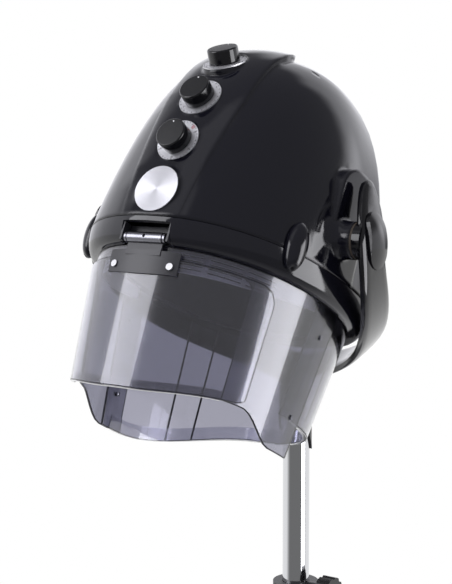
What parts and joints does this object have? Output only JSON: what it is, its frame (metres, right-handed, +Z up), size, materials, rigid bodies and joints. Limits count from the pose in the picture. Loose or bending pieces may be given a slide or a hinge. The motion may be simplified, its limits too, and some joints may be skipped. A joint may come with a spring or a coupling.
{
  "type": "standing hood dryer",
  "caption": "Standing salon hood dryer: egg-shaped tilting hood with smoked lift-up visor and neck shield, front controls, curved fork, telescopic pole and castor base.",
  "frame": {"origin": "on the floor under the pole's axis", "axes": "+Z up, +X to the sitter's left side of the hood, -Y the way the hood and its controls face"},
  "size_m": [0.6101, 0.6613, 1.5766],
  "materials": {
    "dome": "gloss",
    "band": "gloss",
    "fork": "gloss",
    "smoked": "gloss",
    "black_matte": "matte",
    "knob": "gloss",
    "silver": "satin",
    "steel": "satin",
    "chrome": "polished",
    "motor": "satin",
    "impeller": "satin",
    "mica": "matte",
    "coil": "satin",
    "white_plastic": "matte",
    "nylon": "matte",
    "rubber": "matte",
    "base": "satin",
    "washer": "matte",
    "grille": "satin"
  },
  "bodies": {
    "base": {"star_base": "base", "outer_tube": "chrome", "pole_bush": "black_matte", "clamp_sleeve": "base"},
    "castor_1": {"castor_body_1": "base"},
    "wheels_1": {"castor_wheels_1": "rubber"},
    "castor_2": {"castor_body_2": "base"},
    "wheels_2": {"castor_wheels_2": "rubber"},
    "castor_3": {"castor_body_3": "base"},
    "wheels_3": {"castor_wheels_3": "rubber"},
    "castor_4": {"castor_body_4": "base"},
    "wheels_4": {"castor_wheels_4": "rubber"},
    "castor_5": {"castor_body_5": "base"},
    "wheels_5": {"castor_wheels_5": "rubber"},
    "clamp": {"clamp_knob": "base"},
    "mast": {"inner_tube": "chrome", "guide_plug": "nylon", "swivel_plug": "nylon"},
    "fork": {"fork": "fork", "pivot_caps": "fork", "friction_washers": "washer"},
    "hood": {"dome_shell": "dome", "rim_band": "band", "badge_plate": "silver", "dial_plate_low": "silver", "dial_plate_mid": "silver", "dial_plate_top": "silver", "timer_unit": "steel", "heat_switch": "white_plastic", "speed_switch": "white_plastic", "hinge_bracket": "black_matte", "hinge_pin": "steel", "front_shield": "smoked", "rear_shield": "smoked", "shield_clips": "black_matte", "side_lugs": "dome", "neck_strips": "black_matte", "bonnet": "black_matte", "air_grille": "grille", "fan_deck": "steel", "deck_screws": "steel", "motor": "motor", "heater_frame": "mica", "heater_coil": "coil", "thermal_cutout": "steel", "terminal_block": "white_plastic", "cable_gland": "black_matte", "bonnet_screws": "steel", "pivot_bolts": "steel"},
    "fan": {"impeller": "impeller"},
    "visor": {"hinge_leaf": "black_matte", "hinge_barrel": "silver", "visor": "smoked", "visor_screws": "steel"},
    "knob_low": {"knob_low": "knob", "shaft_low": "steel"},
    "knob_mid": {"knob_mid": "knob", "shaft_mid": "steel"},
    "knob_top": {"knob_top": "knob", "shaft_top": "steel"}
  },
  "joints": [
    {"name": "castor_1_swivel", "type": "hinge", "parent": "base", "child": "castor_1", "pos_m": [0, -0.29, 0.066], "axis": [0, 0, 1], "continuous": true},
    {"name": "wheels_1_roll", "type": "hinge", "parent": "castor_1", "child": "wheels_1", "pos_m": [0.02, -0.29, 0.025], "axis": [0, 1, 0], "continuous": true},
    {"name": "castor_2_swivel", "type": "hinge", "parent": "base", "child": "castor_2", "pos_m": [0.27581, -0.08961, 0.066], "axis": [0, 0, 1], "continuous": true},
    {"name": "wheels_2_roll", "type": "hinge", "parent": "castor_2", "child": "wheels_2", "pos_m": [0.28199, -0.07059, 0.025], "axis": [-0.9511, 0.309, 0], "continuous": true},
    {"name": "castor_3_swivel", "type": "hinge", "parent": "base", "child": "castor_3", "pos_m": [0.17046, 0.23461, 0.066], "axis": [0, 0, 1], "continuous": true},
    {"name": "wheels_3_roll", "type": "hinge", "parent": "castor_3", "child": "wheels_3", "pos_m": [0.15428, 0.24637, 0.025], "axis": [-0.5878, -0.809, 0], "continuous": true},
    {"name": "castor_4_swivel", "type": "hinge", "parent": "base", "child": "castor_4", "pos_m": [-0.17046, 0.23461, 0.066], "axis": [0, 0, 1], "continuous": true},
    {"name": "wheels_4_roll", "type": "hinge", "parent": "castor_4", "child": "wheels_4", "pos_m": [-0.18664, 0.22286, 0.025], "axis": [0.5878, -0.809, 0], "continuous": true},
    {"name": "castor_5_swivel", "type": "hinge", "parent": "base", "child": "castor_5", "pos_m": [-0.27581, -0.08961, 0.066], "axis": [0, 0, 1], "continuous": true},
    {"name": "wheels_5_roll", "type": "hinge", "parent": "castor_5", "child": "wheels_5", "pos_m": [-0.26963, -0.10864, 0.025], "axis": [0.9511, 0.309, 0], "continuous": true},
    {"name": "clamp_turn", "type": "hinge", "parent": "base", "child": "clamp", "pos_m": [0.03, 0, 0.872], "axis": [1, 0, 0], "range_deg": [0, 360]},
    {"name": "mast_lift", "type": "slide", "parent": "base", "child": "mast", "axis": [0, 0, 1], "range_m": [-0.16, 0.2]},
    {"name": "fork_swivel", "type": "hinge", "parent": "mast", "child": "fork", "pos_m": [0, 0, 1.08], "axis": [0, 0, 1], "range_deg": [-180, 180]},
    {"name": "hood_tilt", "type": "hinge", "parent": "fork", "child": "hood", "pos_m": [0, -0.162, 1.35], "axis": [-1, 0, 0], "range_deg": [-3, 30]},
    {"name": "visor_lift", "type": "hinge", "parent": "hood", "child": "visor", "pos_m": [0, -0.32119, 1.35619], "axis": [-1, 0, 0], "range_deg": [0, 90]},
    {"name": "fan_spin", "type": "hinge", "parent": "hood", "child": "fan", "pos_m": [0, -0.09386, 1.41871], "axis": [0, 0.4493, 0.8934], "continuous": true},
    {"name": "knob_low_turn", "type": "hinge", "parent": "hood", "child": "knob_low", "pos_m": [0, -0.26254, 1.46281], "axis": [0, -0.8415, 0.5402], "range_deg": [-300, 0]},
    {"name": "knob_mid_turn", "type": "hinge", "parent": "hood", "child": "knob_mid", "pos_m": [0, -0.21832, 1.51232], "axis": [0, -0.723, 0.6909], "range_deg": [-135, 135]},
    {"name": "knob_top_turn", "type": "hinge", "parent": "hood", "child": "knob_top", "pos_m": [0, -0.1673, 1.55413], "axis": [0, -0.314, 0.9494], "range_deg": [-135, 135]}
  ]
}
